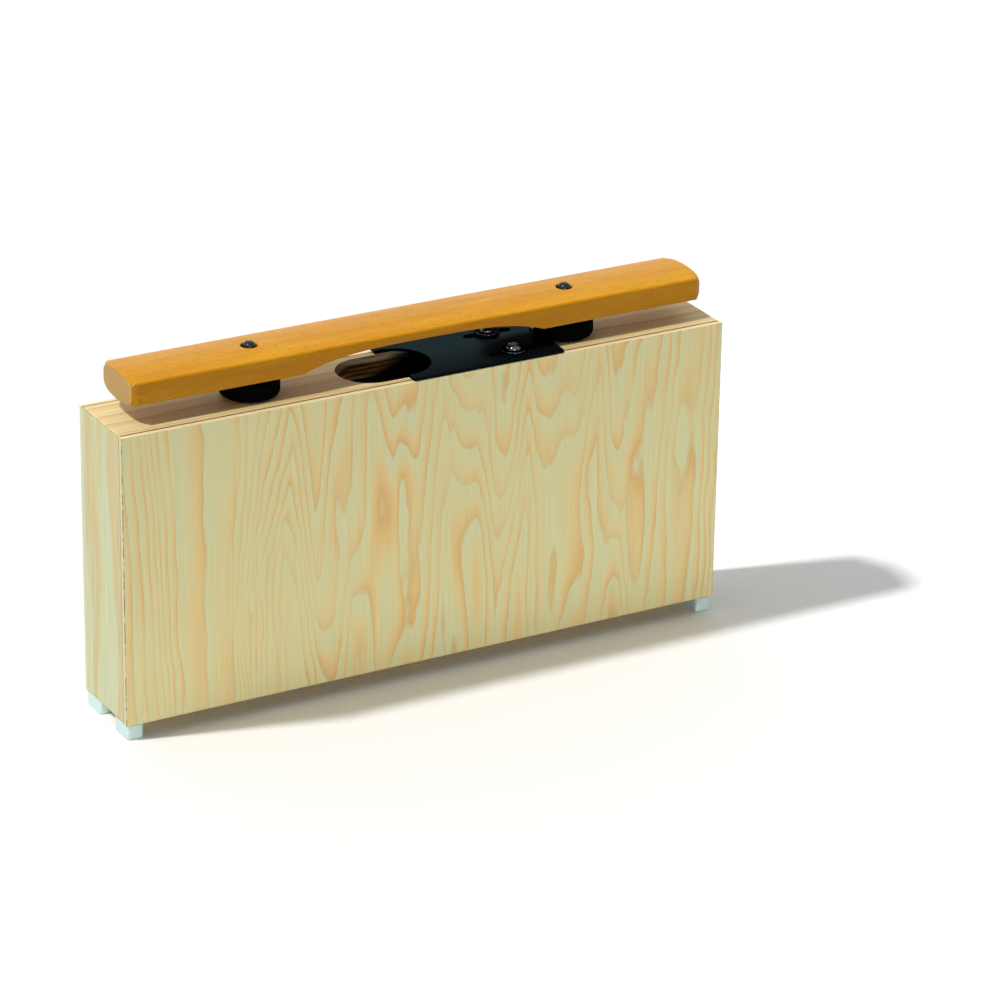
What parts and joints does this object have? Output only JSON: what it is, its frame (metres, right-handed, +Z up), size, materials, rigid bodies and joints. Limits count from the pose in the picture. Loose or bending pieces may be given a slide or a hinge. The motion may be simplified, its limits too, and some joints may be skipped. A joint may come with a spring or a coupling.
{
  "type": "resonator bar",
  "caption": "Tuned wooden bar on a closed pine sound box, held by sleeved pins on rubber pads, with a slotted steel slide that covers part of the sound hole.",
  "frame": {"origin": "middle of the sound box's plan, on the surface that its feet stand on", "axes": "+X along the bar, with the tuning slide on the +X half, +Y from the front panel to the back panel, +Z up"},
  "size_m": [0.44, 0.063, 0.2459],
  "materials": {
    "pine_board": "clear satin lacquer on solid pine",
    "pine_plywood": "clear satin lacquer on pine-faced plywood",
    "bar_hardwood": "amber satin varnish on hardwood",
    "black_rubber": "moulded, matt",
    "pale_rubber": "moulded, matt",
    "black_steel": "black satin paint on sheet steel",
    "zinc_steel": "zinc plated",
    "brass_insert": "plain turned"
  },
  "bodies": {
    "sound_box": {"front_panel": "pine_plywood", "back_panel": "pine_plywood", "top_board": "pine_board", "bottom_board": "pine_board", "left_end_board": "pine_board", "right_end_board": "pine_board", "front_left_foot": "pale_rubber", "front_right_foot": "pale_rubber", "rear_left_foot": "pale_rubber", "rear_right_foot": "pale_rubber", "front_left_foot_screw": "zinc_steel", "front_right_foot_screw": "zinc_steel", "rear_left_foot_screw": "zinc_steel", "rear_right_foot_screw": "zinc_steel", "left_rest_pad": "black_rubber", "right_rest_pad": "black_rubber", "left_bar_pin": "zinc_steel", "right_bar_pin": "zinc_steel", "left_pin_sleeve": "black_rubber", "right_pin_sleeve": "black_rubber", "front_slide_screw": "zinc_steel", "rear_slide_screw": "zinc_steel", "front_slide_washer": "zinc_steel", "rear_slide_washer": "zinc_steel", "front_threaded_insert": "brass_insert", "rear_threaded_insert": "brass_insert"},
    "sound_bar": {"sound_bar": "bar_hardwood"},
    "tuning_slide": {"tuning_slide": "black_steel"}
  },
  "joints": [
    {"name": "bar_lift", "type": "slide", "parent": "sound_box", "child": "sound_bar", "axis": [0, 0, 1], "range_m": [0, 0.03]},
    {"name": "slide_travel", "type": "slide", "parent": "sound_box", "child": "tuning_slide", "axis": [1, 0, 0], "range_m": [-0.014, 0]}
  ]
}
